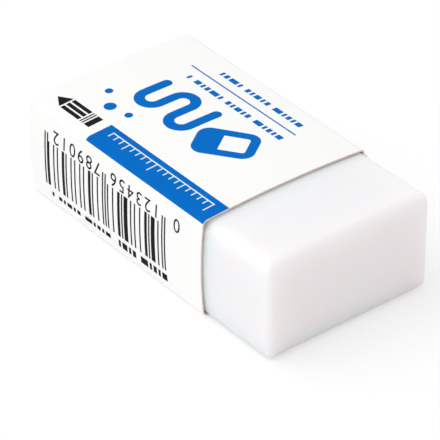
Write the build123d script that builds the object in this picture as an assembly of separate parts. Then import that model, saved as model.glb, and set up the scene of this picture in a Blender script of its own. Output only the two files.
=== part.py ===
"""White vinyl eraser block in a folded card sleeve. Sizes are in millimetres.

+X runs along the eraser towards its bare working end, +Y across it towards the sleeve's glued
side, and +Z up. The origin is under the middle of the whole part, on the surface that it rests on.
"""

import os

from build123d import *

# Eraser block
block_length = 40.0
block_width = 22.0
block_height = 12.0
edge_radius = 1.1  # the soft edge all round the block

# Card sleeve
sleeve_length = 31.4
card = 0.3  # thickness of the card
slide_gap = 0.05  # under the block, and over it at the creases
side_gap = 0.2  # between the block and the card, on each narrow side
fold_radius = 0.4  # inside radius of the creases
top_bow = 0.4  # rise of the top panel at mid-width
side_bow = 0.3  # swell of the single-walled side at mid-height
flap_width = 8.5  # of the glued flap, from its crease to its free edge
flap_taper = 1.5  # how much shorter the flap's free edge is, at each end
seam_setback = 0.6  # from the flap's crease to the cut edge of the panel over it

# How far the block's working end stands out of the sleeve
exposed_length = 11.0

# The whole part's box is centred on the origin in X and Y
overall_length = exposed_length + max(sleeve_length, block_length - exposed_length)
working_end = overall_length / 2
sleeve_front = working_end - exposed_length
sleeve_back = sleeve_front - sleeve_length

# The single side wall swells and the seam side is one card thicker
block_middle = (side_bow - card) / 2

# The space inside the sleeve
space_left = block_middle - block_width / 2 - side_gap
space_right = block_middle + block_width / 2 + side_gap
space_top = card + slide_gap + block_height + slide_gap
flap_crease = space_top - fold_radius


def eraser_block():
    """A plain bar with every edge softened, standing clear of the card all round."""
    bar = Box(block_length, block_width, block_height)
    bar = fillet(bar.edges(), edge_radius)
    bottom = card + slide_gap
    return Pos(working_end - block_length / 2, block_middle, bottom + block_height / 2) * bar


def card_face(depth):
    """One face of the wrapped card in Y and Z, depth outwards from the inside face.

    It runs from the flap's crease over the top, down the single side and along the bottom, then
    up the seam panel, which lies one card further out because it covers the flap.
    """
    radius = fold_radius + depth
    left, right = space_left - depth, space_right + depth
    bottom, top = card - depth, space_top + depth
    seam = right + card
    middle = (left + right) / 2
    low, high = bottom + radius, top - radius
    return [
        CenterArc((right - radius, high), radius, 0, 90),
        ThreePointArc((right - radius, top), (middle, top + top_bow), (left + radius, top)),
        CenterArc((left + radius, high), radius, 90, 90),
        ThreePointArc((left, high), (left - side_bow, (low + high) / 2), (left, low)),
        CenterArc((left + radius, low), radius, 180, 90),
        Line((left + radius, bottom), (seam - radius, bottom)),
        CenterArc((seam - radius, low), radius, 270, 90),
        Line((seam, low), (seam, flap_crease - seam_setback)),
    ]


def glue_flap():
    """The flap folded down inside the seam panel, narrower towards its free edge."""
    free_edge = flap_crease - flap_width
    outline = Polyline(
        (sleeve_back, flap_crease),
        (sleeve_front, flap_crease),
        (sleeve_front - flap_taper, free_edge),
        (sleeve_back + flap_taper, free_edge),
        close=True,
    )
    face = Plane.XZ * make_face(outline)
    return Pos(0, space_right, 0) * extrude(face, amount=card, dir=(0, 1, 0))


def card_sleeve():
    """One strip of card, wrapped round the block and glued to itself on the +Y side."""
    inside, outside = card_face(0), card_face(card)
    crease_edge = Line(inside[0] @ 0, outside[0] @ 0)
    seam_edge = Line(inside[-1] @ 1, outside[-1] @ 1)
    section = make_face([*inside, seam_edge, *outside, crease_edge])
    wrap = extrude(Plane.YZ * section, amount=sleeve_length, dir=(1, 0, 0))
    return Pos(sleeve_back, 0, 0) * wrap + glue_flap()


os.makedirs("parts", exist_ok=True)
export_step(eraser_block(), "parts/eraser_block.step")
export_step(card_sleeve(), "parts/card_sleeve.step")
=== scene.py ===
"""A white vinyl eraser in its printed card sleeve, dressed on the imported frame, in metres, +Z up."""

import itertools
import math

import bmesh
import bpy
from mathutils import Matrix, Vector
from mathutils.geometry import normal as face_normal


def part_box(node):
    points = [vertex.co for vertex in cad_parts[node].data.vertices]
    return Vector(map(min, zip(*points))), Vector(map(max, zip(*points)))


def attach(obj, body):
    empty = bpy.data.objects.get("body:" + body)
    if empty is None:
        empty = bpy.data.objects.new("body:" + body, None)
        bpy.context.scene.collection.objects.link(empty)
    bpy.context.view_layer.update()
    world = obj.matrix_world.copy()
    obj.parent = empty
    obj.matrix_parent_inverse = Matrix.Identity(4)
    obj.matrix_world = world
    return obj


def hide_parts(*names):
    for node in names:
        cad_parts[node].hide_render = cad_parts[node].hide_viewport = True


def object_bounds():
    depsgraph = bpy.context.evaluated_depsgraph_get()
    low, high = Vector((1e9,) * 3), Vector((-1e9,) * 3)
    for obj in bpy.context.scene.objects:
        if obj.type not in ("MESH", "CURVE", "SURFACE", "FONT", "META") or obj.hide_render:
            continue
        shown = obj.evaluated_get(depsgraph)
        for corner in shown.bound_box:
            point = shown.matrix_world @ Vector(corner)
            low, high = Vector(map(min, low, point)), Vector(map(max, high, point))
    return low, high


MM = 0.001

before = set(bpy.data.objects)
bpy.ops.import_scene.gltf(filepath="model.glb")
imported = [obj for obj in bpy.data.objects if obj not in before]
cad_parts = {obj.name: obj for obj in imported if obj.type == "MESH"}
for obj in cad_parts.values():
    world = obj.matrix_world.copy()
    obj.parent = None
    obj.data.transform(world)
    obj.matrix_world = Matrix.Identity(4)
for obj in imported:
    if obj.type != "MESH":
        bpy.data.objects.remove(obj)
cad_box = [list(corner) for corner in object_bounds()]


# ---- Eraser block ---------------------------------------------------------------------------
# A bar of soft white vinyl, moulded in strips and cut to length. Its edges come out of the mould
# and off the cutter slightly round, and the faces are not quite flat. The sleeve holds it.

def pick(piece, kind, wanted):
    """In edit mode, selects only the vertices, edges or faces whose corner points pass a test."""
    bpy.ops.mesh.select_mode(type=kind)
    bpy.ops.mesh.select_all(action="DESELECT")
    mesh = bmesh.from_edit_mesh(piece.data)
    for element in {"VERT": mesh.verts, "EDGE": mesh.edges, "FACE": mesh.faces}[kind]:
        points = [element.co] if kind == "VERT" else [v.co for v in element.verts]
        element.select_set(bool(wanted(*points) if kind == "EDGE" else wanted(points)))
    mesh.select_flush_mode()
    bmesh.update_edit_mesh(piece.data)


def runs_along(axis, least=0.0):
    """A test for edges that run along an axis, or nearly so, and are at least so long."""
    nearly = 0.97

    def test(a, b):
        run = b - a
        return run.length > least and abs(run[axis]) > nearly * run.length
    return test


def divide(piece, axis, cuts, least=0.0):
    """Cuts every edge that runs along an axis into equal lengths, which makes a grid of faces."""
    pick(piece, "EDGE", runs_along(axis, least))
    bpy.ops.mesh.subdivide(number_cuts=cuts)


def apply_modifiers(piece):
    """Makes every modifier on a piece part of its mesh."""
    bpy.ops.object.select_all(action="DESELECT")
    piece.select_set(True)
    bpy.context.view_layer.objects.active = piece
    for modifier in list(piece.modifiers):
        bpy.ops.object.modifier_apply(modifier=modifier.name)


# The vinyl fills the sleeve's width closer than its cut size
near_fill, far_fill = 0.1 * MM, 0.12 * MM
block_low, block_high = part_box("eraser_block")
block_low.y -= near_fill
block_high.y += far_fill
block_size = block_high - block_low

bpy.ops.object.select_all(action="DESELECT")
bpy.ops.mesh.primitive_cube_add(size=1, location=(block_low + block_high) / 2, scale=block_size)
block = bpy.context.object
block.name = "vinyl_block"
bpy.ops.object.transform_apply()

bpy.ops.object.mode_set(mode="EDIT")
divide(block, axis=0, cuts=19)
divide(block, axis=1, cuts=10)
divide(block, axis=2, cuts=5)

# Each edge has the axes of the two faces that it joins, the side of each, and its radius. The
# working end's top edge is the softest.
widest_radius = 1.5 * MM
edge_radii = [
    (0, 2, 1, 1, 1.4 * MM),  # working end, top
    (0, 2, 1, -1, 0.35 * MM),  # working end, bottom
    (0, 1, 1, -1, 0.7 * MM),  # working end, near upright
    (0, 1, 1, 1, 0.3 * MM),  # working end, far upright
    (1, 2, -1, 1, 1.1 * MM),  # long, near top
    (1, 2, 1, 1, 0.45 * MM),  # long, far top
    (1, 2, -1, -1, 0.35 * MM),  # long, near bottom
    (1, 2, 1, -1, 0.9 * MM),  # long, far bottom
    (0, 2, -1, 1, 1.1 * MM),  # hidden end, top
    (0, 2, -1, -1, 0.9 * MM),  # hidden end, bottom
    (0, 1, -1, -1, 0.9 * MM),  # hidden end, near upright
    (0, 1, -1, 1, 0.9 * MM),  # hidden end, far upright
]

same_place = 0.01 * MM  # points closer than this are in one place


def on_side(point, axis, sign):
    """Whether a point lies on the block's face on one side of an axis."""
    corner = block_high if sign > 0 else block_low
    return abs(point[axis] - corner[axis]) < same_place


for first, second, first_sign, second_sign, radius in edge_radii:
    def on_both_sides(*ends):
        return all(
            on_side(end, first, first_sign) and on_side(end, second, second_sign)
            for end in ends
        )
    pick(block, "EDGE", on_both_sides)
    bpy.ops.transform.edge_bevelweight(value=radius / widest_radius)
bpy.ops.object.mode_set(mode="OBJECT")

rounding = block.modifiers.new("rounded_edges", "BEVEL")
rounding.limit_method = "WEIGHT"
rounding.width = widest_radius
rounding.segments = 5
smoothing = block.modifiers.new("smoothing", "SUBSURF")
smoothing.levels = smoothing.render_levels = 1
apply_modifiers(block)
bpy.ops.object.shade_smooth()


def bow(offset, half):
    """The share of a panel's bow at an offset from its middle line."""
    return max(0.0, 1 - (offset / half) ** 2)


def fading(at_sleeve, at_end, free):
    """A value on its way from the one under the sleeve to the one at the working end."""
    return at_sleeve + (at_end - at_sleeve) * free


# The top is crowned and the near side swells under the sleeve, and both fade to the working end
crown, crown_at_end = 0.46 * MM, 0.16 * MM
swell, swell_at_end = 0.43 * MM, 0.06 * MM
far_side_spread = 0.13 * MM
block_middle = (block_low + block_high) / 2
sleeve_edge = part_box("card_sleeve")[1].x
for vertex in block.data.vertices:
    place = vertex.co
    free = min(1.0, max(0.0, (place.x - sleeve_edge) / (block_high.x - sleeve_edge)))
    up = max(0.0, 2 * (place.z - block_middle.z) / block_size.z)
    out = max(0.0, 2 * (block_middle.y - place.y) / block_size.y)
    back = max(0.0, 2 * (place.y - block_middle.y) / block_size.y)
    across, height = place.y - block_middle.y, place.z - block_middle.z
    place.z += fading(crown, crown_at_end, free) * up * bow(across, block_size.y / 2)
    place.y -= fading(swell, swell_at_end, free) * out * bow(height, block_size.z / 2)
    place.y += far_side_spread * free * back


def grain_group():
    """Fine grain and slow cloudiness, shared by the vinyl, the card and the inks."""
    group = bpy.data.node_groups.new("grain", "ShaderNodeTree")
    for name, value in (("Grain Size", 0.3 * MM), ("Cloud Size", 5 * MM)):
        socket = group.interface.new_socket(name, in_out="INPUT", socket_type="NodeSocketFloat")
        socket.default_value = value
    for name in ("Grain", "Clouds"):
        group.interface.new_socket(name, in_out="OUTPUT", socket_type="NodeSocketFloat")
    nodes, links = group.nodes, group.links
    entry = nodes.new("NodeGroupInput")
    exit_ = nodes.new("NodeGroupOutput")
    place = nodes.new("ShaderNodeTexCoord")
    layers = (("Grain Size", "Grain", 3), ("Cloud Size", "Clouds", 2))
    for size_name, output, detail in layers:
        per_metre = nodes.new("ShaderNodeMath")
        per_metre.operation = "DIVIDE"
        per_metre.inputs[0].default_value = 1
        noise = nodes.new("ShaderNodeTexNoise")
        noise.inputs["Detail"].default_value = detail
        links.new(entry.outputs[size_name], per_metre.inputs[1])
        links.new(per_metre.outputs[0], noise.inputs["Scale"])
        links.new(place.outputs["Object"], noise.inputs["Vector"])
        links.new(noise.outputs["Fac"], exit_.inputs[output])
    return group


grain = grain_group()
noise_low, noise_high = 0.3, 0.7  # where nearly all of a noise mask lies
gloss_drift = 0.05


def between(nodes, links, mask, low, high):
    """A value that follows a noise mask from low to high."""
    spread = nodes.new("ShaderNodeMapRange")
    spread.inputs["From Min"].default_value = noise_low
    spread.inputs["From Max"].default_value = noise_high
    spread.inputs["To Min"].default_value = low
    spread.inputs["To Max"].default_value = high
    links.new(mask, spread.inputs["Value"])
    return spread.outputs["Result"]


def finish_material(name, pale, deep, rough, shine, grain_size, cloud_size, relief):
    """A material whose colour drifts between two tones, with a grained, uneven gloss."""
    material = bpy.data.materials.new(name)
    material.use_nodes = True
    nodes, links = material.node_tree.nodes, material.node_tree.links
    shader = nodes["Principled BSDF"]
    shader.inputs["Specular IOR Level"].default_value = shine
    texture = nodes.new("ShaderNodeGroup")
    texture.node_tree = grain
    texture.inputs["Grain Size"].default_value = grain_size
    texture.inputs["Cloud Size"].default_value = cloud_size
    tone = nodes.new("ShaderNodeMix")
    tone.data_type = "RGBA"
    tone.inputs["A"].default_value = (*deep, 1)
    tone.inputs["B"].default_value = (*pale, 1)
    links.new(between(nodes, links, texture.outputs["Clouds"], 0, 1), tone.inputs["Factor"])
    links.new(tone.outputs["Result"], shader.inputs["Base Color"])
    smoothest, roughest = rough - gloss_drift, rough + gloss_drift
    gloss = between(nodes, links, texture.outputs["Grain"], smoothest, roughest)
    links.new(gloss, shader.inputs["Roughness"])
    bump = nodes.new("ShaderNodeBump")
    bump.inputs["Strength"].default_value = 1
    bump.inputs["Distance"].default_value = relief
    links.new(texture.outputs["Grain"], bump.inputs["Height"])
    links.new(bump.outputs["Normal"], shader.inputs["Normal"])
    return material


vinyl = finish_material(
    "soft_vinyl", (0.884, 0.882, 0.9), (0.874, 0.87, 0.887), 0.5, 0.35,
    grain_size=0.25 * MM, cloud_size=7 * MM, relief=0.004 * MM,
)
vinyl_shader = vinyl.node_tree.nodes["Principled BSDF"]
vinyl_shader.inputs["Subsurface Weight"].default_value = 1
vinyl_shader.inputs["Subsurface Radius"].default_value = (1.0, 0.72, 0.68)
vinyl_shader.inputs["Subsurface Scale"].default_value = 3 * MM

block.data.materials.append(vinyl)
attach(block, "block")
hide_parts("eraser_block")


# ---- Card sleeve ----------------------------------------------------------------------------
# One strip of thin card, white-coated outside and bare grey board inside. It is creased at four
# long edges and glued to itself on the +Y side, where a flap lies under the seam panel.

card = 0.2 * MM
crease_radius = 0.6 * MM  # at mid-thickness
top_bow = 0.4 * MM
side_bow = 0.3 * MM
flap_width = 8.5 * MM
flap_taper = 1.5 * MM
seam_gap = 1.0 * MM  # from the top crease's middle down to the seam panel's cut edge
glue = 0.1 * MM

sleeve_low, sleeve_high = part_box("card_sleeve")
sleeve_length = sleeve_high.x - sleeve_low.x
sleeve_middle = (sleeve_low.x + sleeve_high.x) / 2
single_side = sleeve_low.y + side_bow + card / 2
seam_side = sleeve_high.y - card / 2
flap_side = seam_side - card - glue
underside = sleeve_low.z + card / 2
topside = sleeve_high.z - top_bow - card / 2
top_middle = (flap_side + single_side) / 2
side_middle = (topside + underside) / 2

bpy.ops.object.select_all(action="DESELECT")
bpy.ops.mesh.primitive_plane_add(size=1, location=(sleeve_middle, top_middle, topside))
sleeve = bpy.context.object
sleeve.name = "sleeve_card"
sleeve.scale = (sleeve_length, flap_side - single_side, 1)
bpy.ops.object.transform_apply()


def crease_at(y, z):
    """A test for edges that run the sleeve's length at one place of its section."""
    def test(a, b):
        return all(abs(p.y - y) + abs(p.z - z) < same_place for p in (a, b))
    return test


def carry_on(step):
    """Carries the selected edge on by one step."""
    bpy.ops.mesh.extrude_region_move(TRANSFORM_OT_translate={"value": step})


# The strip is wrapped panel by panel, down the single side, under the block and up the seam side
bpy.ops.object.mode_set(mode="EDIT")
pick(sleeve, "EDGE", crease_at(single_side, topside))
carry_on((0, 0, underside - topside))
carry_on((0, seam_side - single_side, 0))
carry_on((0, 0, topside - seam_gap - underside))
pick(sleeve, "EDGE", crease_at(flap_side, topside))
carry_on((0, 0, -flap_width))
bpy.ops.transform.resize(
    value=(1 - 2 * flap_taper / sleeve_length, 1, 1),
    center_override=(sleeve_middle, flap_side, topside - flap_width),
)


def any_crease(a, b):
    """Whether an edge is one of the four long creases."""
    places = (
        (single_side, topside), (single_side, underside),
        (seam_side, underside), (flap_side, topside),
    )
    return any(crease_at(y, z)(a, b) for y, z in places)


pick(sleeve, "EDGE", any_crease)
bpy.ops.mesh.bevel(offset=crease_radius, offset_type="OFFSET", segments=6, affect="EDGES")
divide(sleeve, axis=0, cuts=30)
divide(sleeve, axis=1, cuts=21, least=2 * MM)
divide(sleeve, axis=2, cuts=9, least=2 * MM)
bpy.ops.mesh.select_all(action="SELECT")
bpy.ops.mesh.normals_make_consistent(inside=False)
bpy.ops.object.mode_set(mode="OBJECT")

# The card bows a little more towards the two open ends
bow_at_middle = 0.95
top_half = (flap_side - single_side) / 2 - crease_radius
side_half = (topside - underside) / 2 - crease_radius
for vertex in sleeve.data.vertices:
    place = vertex.co
    from_middle = (place.x - sleeve_middle) / (sleeve_length / 2)
    freedom = bow_at_middle + (1 - bow_at_middle) * from_middle ** 2
    if place.z > topside - same_place:
        place.z += top_bow * freedom * bow(place.y - top_middle, top_half)
    elif place.y < single_side + same_place:
        place.y -= side_bow * freedom * bow(place.z - side_middle, side_half)

card_coat = finish_material(
    "card_coat", (0.945, 0.938, 0.93), (0.933, 0.926, 0.918), 0.5, 0.3,
    grain_size=0.4 * MM, cloud_size=6 * MM, relief=0.003 * MM,
)
bare_board = finish_material(
    "bare_board", (0.7, 0.68, 0.64), (0.65, 0.63, 0.585), 0.85, 0.2,
    grain_size=0.3 * MM, cloud_size=2 * MM, relief=0.02 * MM,
)
cut_edge = finish_material(
    "cut_edge", (0.82, 0.69, 0.6), (0.72, 0.58, 0.49), 0.85, 0.2,
    grain_size=0.15 * MM, cloud_size=1 * MM, relief=0.02 * MM,
)
for material in (card_coat, bare_board, cut_edge):
    sleeve.data.materials.append(material)

thickness = sleeve.modifiers.new("card", "SOLIDIFY")
thickness.thickness = card
thickness.offset = 0
thickness.use_even_offset = True
thickness.material_offset = 1
thickness.material_offset_rim = 2
apply_modifiers(sleeve)
bpy.ops.object.shade_smooth_by_angle(angle=math.radians(30))

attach(sleeve, "sleeve")
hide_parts("card_sleeve")


# ---- Print on the top panel -----------------------------------------------------------------
# Bright blue ink printed on the coated card: a solid band along the crease with a white scale in
# it, a bold drawing of an eraser and its scribble, and a ruled line between two rows of dashes. A
# small black pencil stands in line with the band.

ink_film = 0.015 * MM
ink_lift = 0.01 * MM  # from the card to the top of a plain film of ink
weld = 0.001 * MM
drawing_height = sleeve_high.z + 1 * MM
print_front = sleeve_high.x - 0.03 * MM  # just short of the card's front edge
card_steps = [mm * MM for mm in range(-21, 14)]


def open_print(name):
    """A new print layer, empty and open for drawing in edit mode."""
    bpy.ops.object.select_all(action="DESELECT")
    bpy.ops.object.add(type="MESH", location=(0, 0, 0))
    layer = bpy.context.object
    layer.name = name
    bpy.ops.object.mode_set(mode="EDIT")
    return layer


def top_block(x, y, length, width, turn=0.0):
    """Draws a filled rectangle over the top panel, by its middle."""
    middle = (x, y, drawing_height)
    bpy.ops.mesh.primitive_plane_add(size=1, location=middle)
    bpy.ops.transform.resize(value=(length, width, 1), center_override=middle)
    bpy.ops.transform.rotate(value=-turn, orient_axis="Z", center_override=middle)


def top_dot(x, y, radius):
    """Draws a filled round dot over the top panel."""
    bpy.ops.mesh.primitive_circle_add(
        vertices=48, radius=radius, fill_type="NGON", location=(x, y, drawing_height)
    )


def dash_row(draw, start, end, middle, height):
    """Draws a row of uneven dashes towards -X, in the place of small print."""
    lengths = (0.9, 0.4, 0.6, 0.4, 1.3, 0.6, 0.4)
    in_a_word = 5
    gap = 0.3 * MM
    for number in itertools.count():
        length = lengths[number % len(lengths)] * MM
        if start - length < end:
            return
        draw(start - length / 2, middle, length, height)
        last_of_word = number % in_a_word == in_a_word - 1
        start -= length + (3 * gap if last_of_word else gap)


def cut_across(axis, places):
    """Cuts all that is drawn at each place along an axis, so that it can follow the bowed card."""
    for place in places:
        bpy.ops.mesh.select_all(action="SELECT")
        at, across = Vector((0, 0, 0)), Vector((0, 0, 0))
        at[axis], across[axis] = place, 1
        bpy.ops.mesh.bisect(plane_co=at, plane_no=across, threshold=weld)


def press_on(layer, axis, outwards, lift=ink_lift):
    """Presses a flat drawing onto the sleeve along an axis and gives it the ink's thickness."""
    def turned_in(points):
        return face_normal(points)[axis] * outwards < 0
    bpy.ops.mesh.select_all(action="SELECT")
    bpy.ops.mesh.remove_doubles(threshold=weld)
    pick(layer, "FACE", turned_in)
    bpy.ops.mesh.flip_normals()
    bpy.ops.object.mode_set(mode="OBJECT")
    wrap = layer.modifiers.new("pressed_on", "SHRINKWRAP")
    wrap.target = sleeve
    wrap.wrap_method = "PROJECT"
    wrap.wrap_mode = "ABOVE_SURFACE"
    wrap.use_project_y = axis == 1
    wrap.use_project_z = axis == 2
    wrap.use_positive_direction = outwards < 0
    wrap.use_negative_direction = outwards > 0
    wrap.offset = lift
    film = layer.modifiers.new("film", "SOLIDIFY")
    film.thickness = ink_film
    film.offset = -1
    apply_modifiers(layer)


def dress_print(layer, ink):
    """Gives a print layer its ink and lets it move with the sleeve."""
    layer.data.materials.append(ink)
    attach(layer, "sleeve")


blue_ink = finish_material(
    "ink_blue", (0.0, 0.15, 0.555), (0.0, 0.141, 0.535), 0.5, 0.02,
    grain_size=0.3 * MM, cloud_size=3 * MM, relief=0.002 * MM,
)
white_ink = finish_material(
    "ink_white", (0.8, 0.88, 0.92), (0.72, 0.83, 0.9), 0.5, 0.2,
    grain_size=0.2 * MM, cloud_size=2 * MM, relief=0.002 * MM,
)
black_ink = finish_material(
    "ink_black", (0.014, 0.012, 0.014), (0.009, 0.008, 0.009), 0.5, 0.03,
    grain_size=0.2 * MM, cloud_size=2 * MM, relief=0.002 * MM,
)

# The band runs back from the sleeve's front edge, and over the crease in fine steps
band_length, band_width = 21.1 * MM, 3.62 * MM
band_middle = -9.61 * MM
crease_start, fine_step = -10.76 * MM, 0.04 * MM
crease_steps = [crease_start - fine_step * step for step in range(17)]
band = open_print("print_blue_band")
top_block(print_front - band_length / 2, band_middle, band_length, band_width)
cut_across(0, card_steps)
cut_across(1, card_steps + crease_steps)
press_on(band, 2, 1, lift=1.5 * ink_lift)
dress_print(band, blue_ink)

# A white scale in the band: a tick every millimetre, longer at five and ten
scale = open_print("print_white_scale")
scale_start = print_front - 1.6 * MM
scale_base = -8.7 * MM
scale_steps = 18
tick_width = 0.16 * MM
short_tick, five_tick, ten_tick = 0.75 * MM, 1.15 * MM, 1.5 * MM
for tick in range(scale_steps + 1):
    tick_length = short_tick
    if tick % 10 == 0:
        tick_length = ten_tick
    elif tick % 5 == 0:
        tick_length = five_tick
    top_block(scale_start - tick * MM, scale_base - tick_length / 2, tick_width, tick_length)
line_x, line_y = scale_start - scale_steps / 2 * MM, scale_base + tick_width / 2
line_length = scale_steps * MM + 1.4 * tick_width
top_block(line_x, line_y, line_length, tick_width)
cut_across(0, card_steps)
cut_across(1, card_steps)
press_on(scale, 2, 1, lift=3 * ink_lift)
dress_print(scale, white_ink)

# The drawing begins with a tilted eraser outline, whose sleeved half is solid
emblem = open_print("print_blue_emblem")
stroke = 1.3 * MM
outline = 1.15 * MM
icon_at = Vector((0.2 * MM, -0.3 * MM, drawing_height))
icon_length, icon_width = 7.4 * MM, 5.2 * MM
icon_corner = 1.5 * MM
icon_turn = math.radians(35)
icon_along = Vector((math.cos(icon_turn), math.sin(icon_turn), 0))
icon_across = Vector((-math.sin(icon_turn), math.cos(icon_turn), 0))
sleeved_end = icon_at - 0.6 * MM * icon_along
top_block(icon_at.x, icon_at.y, icon_length, icon_width, icon_turn)
bpy.ops.mesh.bevel(offset=icon_corner, segments=12, affect="VERTICES")
bpy.ops.mesh.select_all(action="SELECT")
bpy.ops.mesh.inset(thickness=outline)
bpy.ops.mesh.bisect(plane_co=sleeved_end, plane_no=icon_along)


def open_half(points):
    """Whether a face lies inside the eraser's outline, in the half left open."""
    from_middle = [p - icon_at for p in points]
    border = 0.9 * outline  # a little narrow, so that points on its inner edge pass
    inner_length, inner_width = icon_length / 2 - border, icon_width / 2 - border
    inside = all(
        abs(p.dot(icon_along)) < inner_length and abs(p.dot(icon_across)) < inner_width
        for p in from_middle
    )
    return inside and sum(p.dot(icon_along) for p in from_middle) > 0


pick(emblem, "FACE", open_half)
bpy.ops.mesh.delete(type="FACE")

# The scribble is one ribbon with rounded ends, which turns back on itself and shrinks
turn_radius = 1.45 * MM
ribbon_start_x = -5.1 * MM
ribbon_x, ribbon_y = ribbon_start_x, 3.2 * MM
runs = [4.5 * MM, 2.5 * MM, 2.2 * MM, 3.9 * MM]
tips = [ribbon_y]
top_block(ribbon_x, ribbon_y - runs[0] / 2, stroke, runs[0])
ribbon_y -= runs[0]


def loose_end(a, b):
    """Whether an edge is the end of the ribbon that is drawn on from."""
    return all(
        abs(p.y - ribbon_y) < same_place and abs(p.x - ribbon_x) < 0.6 * stroke
        for p in (a, b)
    )


pick(emblem, "EDGE", loose_end)
way = -1
for run in runs[1:]:
    pivot = (ribbon_x - turn_radius, ribbon_y, drawing_height)
    bpy.ops.mesh.spin(steps=24, angle=-way * math.pi, center=pivot, axis=(0, 0, 1))
    way = -way
    ribbon_x -= 2 * turn_radius
    ribbon_y += way * run
    carry_on((0, way * run, 0))
tips.append(ribbon_y)


def ribbon_tip(points):
    """Whether a vertex is a corner of one of the ribbon's two ends."""
    corner = points[0]
    in_ribbon = corner.x < ribbon_start_x + stroke
    return in_ribbon and min(abs(corner.y - y) for y in tips) < same_place


pick(emblem, "VERT", ribbon_tip)
bpy.ops.mesh.bevel(offset=0.49 * stroke, segments=12, affect="VERTICES")

# The crumbs: place along X, place along Y and radius, in millimetres
for crumb_x, crumb_y, crumb_radius in ((-14.0, -5.7, 0.75), (-11.2, -5.2, 0.5), (-16.6, -3.9, 0.5)):
    top_dot(crumb_x * MM, crumb_y * MM, crumb_radius * MM)
cut_across(0, card_steps)
cut_across(1, card_steps)
press_on(emblem, 2, 1)
dress_print(emblem, blue_ink)

# The ruled line between two rows of dashes
rule_x, rule_y = -5.8 * MM, 6.93 * MM
rule_length, rule_width = 18.8 * MM, 0.2 * MM
near_row_y, far_row_y = 5.15 * MM, 8.65 * MM
row_height = 0.75 * MM
lines = open_print("print_blue_lines")
top_block(rule_x, rule_y, rule_length, rule_width)
dash_row(top_block, start=3.3 * MM, end=-13.7 * MM, middle=near_row_y, height=row_height)
dash_row(top_block, start=2.5 * MM, end=-12.3 * MM, middle=far_row_y, height=row_height)
cut_across(0, card_steps)
cut_across(1, card_steps)
press_on(lines, 2, 1)
dress_print(lines, blue_ink)

# The pencil: rubber end, two ferrule rings, a body of three bars and a pointed tip
pencil_middle, pencil_width = -8.95 * MM, 2.1 * MM
rubber_x, rubber_length = -12.8 * MM, 0.9 * MM
ring_places, ring_length = (-13.6 * MM, -14.0 * MM), 0.2 * MM
body_x, body_length = -16.0 * MM, 3.3 * MM
bar_width = 0.54 * MM
tip_end, tip_length = -19.6 * MM, 1.7 * MM
pencil = open_print("print_black_pencil")
top_block(rubber_x, pencil_middle, rubber_length, pencil_width)
for ring_x in ring_places:
    top_block(ring_x, pencil_middle, ring_length, pencil_width)
for bar in (-1, 0, 1):
    off_middle = bar * (pencil_width - bar_width) / 2
    top_block(body_x, pencil_middle + off_middle, body_length, bar_width)
top_block(tip_end + tip_length / 2, pencil_middle, tip_length, pencil_width)


def tip_edge(a, b):
    """Whether an edge is the end of the pencil's tip, which is drawn to a point."""
    return max(a.x, b.x) < tip_end + same_place


pick(pencil, "EDGE", tip_edge)
bpy.ops.mesh.merge(type="CENTER")
cut_across(1, card_steps)
press_on(pencil, 2, 1)
dress_print(pencil, black_ink)


# ---- Print on the narrow side ---------------------------------------------------------------
# Black ink on the single-walled side, set upside down: a bar strip like a till code, made up by
# a rule, with plain numbers in counting order over it and a row of dashes under it.

drawing_front = sleeve_low.y - 1 * MM
module = 0.236 * MM
code_start = 3.9 * MM
code_low, code_high, guard_high = 2.8 * MM, 8.8 * MM, 9.9 * MM


def side_block(x, z, length, height):
    """Draws a filled rectangle in front of the narrow side, by its middle."""
    middle = (x, drawing_front, z)
    bpy.ops.mesh.primitive_plane_add(size=1, location=middle, rotation=(math.pi / 2, 0, 0))
    bpy.ops.transform.resize(value=(length, 1, height), center_override=middle)


def code_bar(start, width, high):
    """Draws one upright bar of the strip, placed and sized in modules."""
    x = code_start - (start + width / 2) * module
    side_block(x, (code_low + high) / 2, width * module, high - code_low)


strip = open_print("print_black_bars")
for guard in (0, 2, 46, 48, 92, 94):
    code_bar(guard, 1, guard_high)

# Each half of the strip has its start, then the widths of six bars and of the gap before each one,
# in modules. It goes through the six twice.
halves = [
    (3, (1, 3, 1, 2, 1, 1), (2, 2, 1, 1, 3, 3)),
    (50, (1, 1, 2, 1, 1, 1), (2, 3, 1, 3, 2, 3)),
]
for place, widths, gaps in halves:
    for width, gap in zip(widths * 2, gaps * 2):
        place += gap
        code_bar(place, width, code_high)
        place += width

# The row of dashes under it is bolder in its front part
low_row_z = 1.75 * MM
bold_height, light_height = 0.9 * MM, 0.55 * MM
dash_row(side_block, start=4.0 * MM, end=-5.6 * MM, middle=low_row_z, height=bold_height)
dash_row(side_block, start=-6.4 * MM, end=-18.0 * MM, middle=low_row_z, height=light_height)
cut_across(2, [mm * MM for mm in range(2, 10)])
press_on(strip, 1, -1)
dress_print(strip, black_ink)

# The numbers stand on their heads over the bars, in three groups
digit_size, digit_spread = 2.45 * MM, 1.27
digit_middle = 9.95 * MM
numbers = []
for body, x in (("0", 5.85 * MM), ("123456", -1.7 * MM), ("789012", -12.45 * MM)):
    bpy.ops.object.select_all(action="DESELECT")
    bpy.ops.object.text_add(location=(0, 0, 0))
    text = bpy.context.object
    text.data.body = body
    text.data.size = digit_size
    text.data.space_character = digit_spread
    text.data.align_x = "CENTER"
    text.data.align_y = "CENTER"
    bpy.ops.object.convert(target="MESH")
    text = bpy.context.object
    text.rotation_euler = (math.pi / 2, math.pi, 0)
    text.location = (x, drawing_front, digit_middle)
    bpy.ops.object.transform_apply()
    numbers.append(text)
bpy.ops.object.select_all(action="DESELECT")
for text in numbers:
    text.select_set(True)
bpy.context.view_layer.objects.active = numbers[0]
bpy.ops.object.join()
digits = bpy.context.object
digits.name = "print_black_digits"
bpy.ops.object.mode_set(mode="EDIT")
cut_across(2, [z * MM for z in (9.5, 10.0, 10.5)])
press_on(digits, 1, -1)
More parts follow.
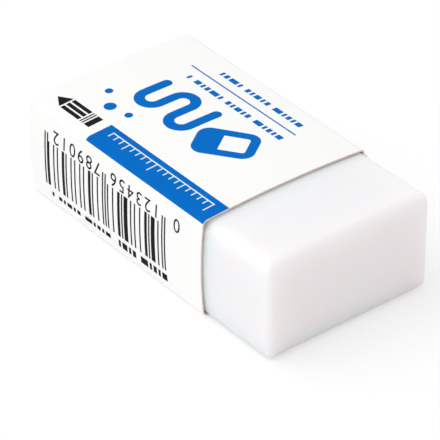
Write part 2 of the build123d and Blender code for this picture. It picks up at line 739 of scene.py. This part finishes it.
dress_print(digits, black_ink)


# ---- Table and lights -----------------------------------------------------------------------
# A plain white table top under soft light from the left and above, with a weak rosy one from the
# right. To the eye the table is washed out by half, and the sky is plain white.

def seen_directly(nodes, links):
    """Whether a ray comes from the eye, from a reflection or through glass, as 1 or 0."""
    rays = nodes.new("ShaderNodeLightPath")
    seen = rays.outputs["Is Camera Ray"]
    for kind in ("Is Glossy Ray", "Is Transmission Ray"):
        either = nodes.new("ShaderNodeMath")
        either.operation = "MAXIMUM"
        links.new(seen, either.inputs[0])
        links.new(rays.outputs[kind], either.inputs[1])
        seen = either.outputs[0]
    return seen


table_size = 4
table_wash = 0.5

bpy.ops.object.select_all(action="DESELECT")
bpy.ops.mesh.primitive_plane_add(size=table_size, location=(0, 0, cad_box[0][2]))
table = bpy.context.object
table.name = "table_top"
table_white = bpy.data.materials.new("table_white")
table_white.use_nodes = True
table_nodes, table_links = table_white.node_tree.nodes, table_white.node_tree.links
table_shader = table_nodes["Principled BSDF"]
table_shader.inputs["Base Color"].default_value = (0.98, 0.98, 0.98, 1)
table_shader.inputs["Roughness"].default_value = 0.9
table_shader.inputs["Specular IOR Level"].default_value = 0.2
wash = table_nodes.new("ShaderNodeEmission")
wash_share = table_nodes.new("ShaderNodeMath")
wash_share.operation = "MULTIPLY"
wash_share.inputs[1].default_value = table_wash
table_mix = table_nodes.new("ShaderNodeMixShader")
table_links.new(seen_directly(table_nodes, table_links), wash_share.inputs[0])
table_links.new(wash_share.outputs[0], table_mix.inputs["Fac"])
table_links.new(table_shader.outputs["BSDF"], table_mix.inputs[1])
table_links.new(wash.outputs[0], table_mix.inputs[2])
table_links.new(table_mix.outputs[0], table_nodes["Material Output"].inputs["Surface"])
table.data.materials.append(table_white)

world = bpy.data.worlds.new("studio")
world.use_nodes = True
bpy.context.scene.world = world
sky_nodes, sky_links = world.node_tree.nodes, world.node_tree.links
sky_light = sky_nodes["Background"]
sky_light.inputs["Color"].default_value = (1.0, 0.993, 0.978, 1)
sky_light.inputs["Strength"].default_value = 0.69
sky_seen = sky_nodes.new("ShaderNodeBackground")
sky_seen.inputs["Color"].default_value = (1, 1, 1, 1)
sky_seen.inputs["Strength"].default_value = 1
sky_mix = sky_nodes.new("ShaderNodeMixShader")
sky_links.new(seen_directly(sky_nodes, sky_links), sky_mix.inputs["Fac"])
sky_links.new(sky_light.outputs[0], sky_mix.inputs[1])
sky_links.new(sky_seen.outputs[0], sky_mix.inputs[2])
sky_links.new(sky_mix.outputs[0], sky_nodes["World Output"].inputs["Surface"])


def sun(name, towards, strength, width, colour):
    """A soft sun that shines from a direction, as from a softbox of that angular width."""
    lamp = bpy.data.lights.new(name, "SUN")
    lamp.energy = strength
    lamp.angle = math.radians(width)
    lamp.color = colour
    holder = bpy.data.objects.new(name, lamp)
    holder.rotation_euler = Vector(towards).to_track_quat("Z", "Y").to_euler()
    bpy.context.scene.collection.objects.link(holder)


sun("key_softbox", (-0.42, -0.42, 0.8), 1.42, 70, (0.92, 0.97, 1.0))
sun("rosy_reflector", (1.0, -0.05, 0.08), 0.22, 60, (1.0, 0.12, 0.06))


# ---- Camera ---------------------------------------------------------------------------------
# Looks down on the working end from the front left, from well back through a long lens, and is
# slid a little in its own plane to frame the eraser.

azimuth, elevation = math.radians(51.49), math.radians(34.62)
distance = 382.8 * MM
aim = Vector((1.2, 0, 0)) * MM
slide_right, slide_up = -1.52 * MM, 2.57 * MM
back = Vector((
    math.sin(azimuth) * math.cos(elevation),
    -math.cos(azimuth) * math.cos(elevation),
    math.sin(elevation),
))
right = Vector((0, 0, 1)).cross(back).normalized()
lens = bpy.data.cameras.new("camera")
lens.lens = 276.9
lens.sensor_width = 36
camera = bpy.data.objects.new("camera", lens)
camera.location = aim + back * distance + right * slide_right + back.cross(right) * slide_up
camera.rotation_euler = back.to_track_quat("Z", "Y").to_euler()
bpy.context.scene.collection.objects.link(camera)
bpy.context.scene.camera = camera
bpy.context.scene.view_settings.view_transform = "Standard"
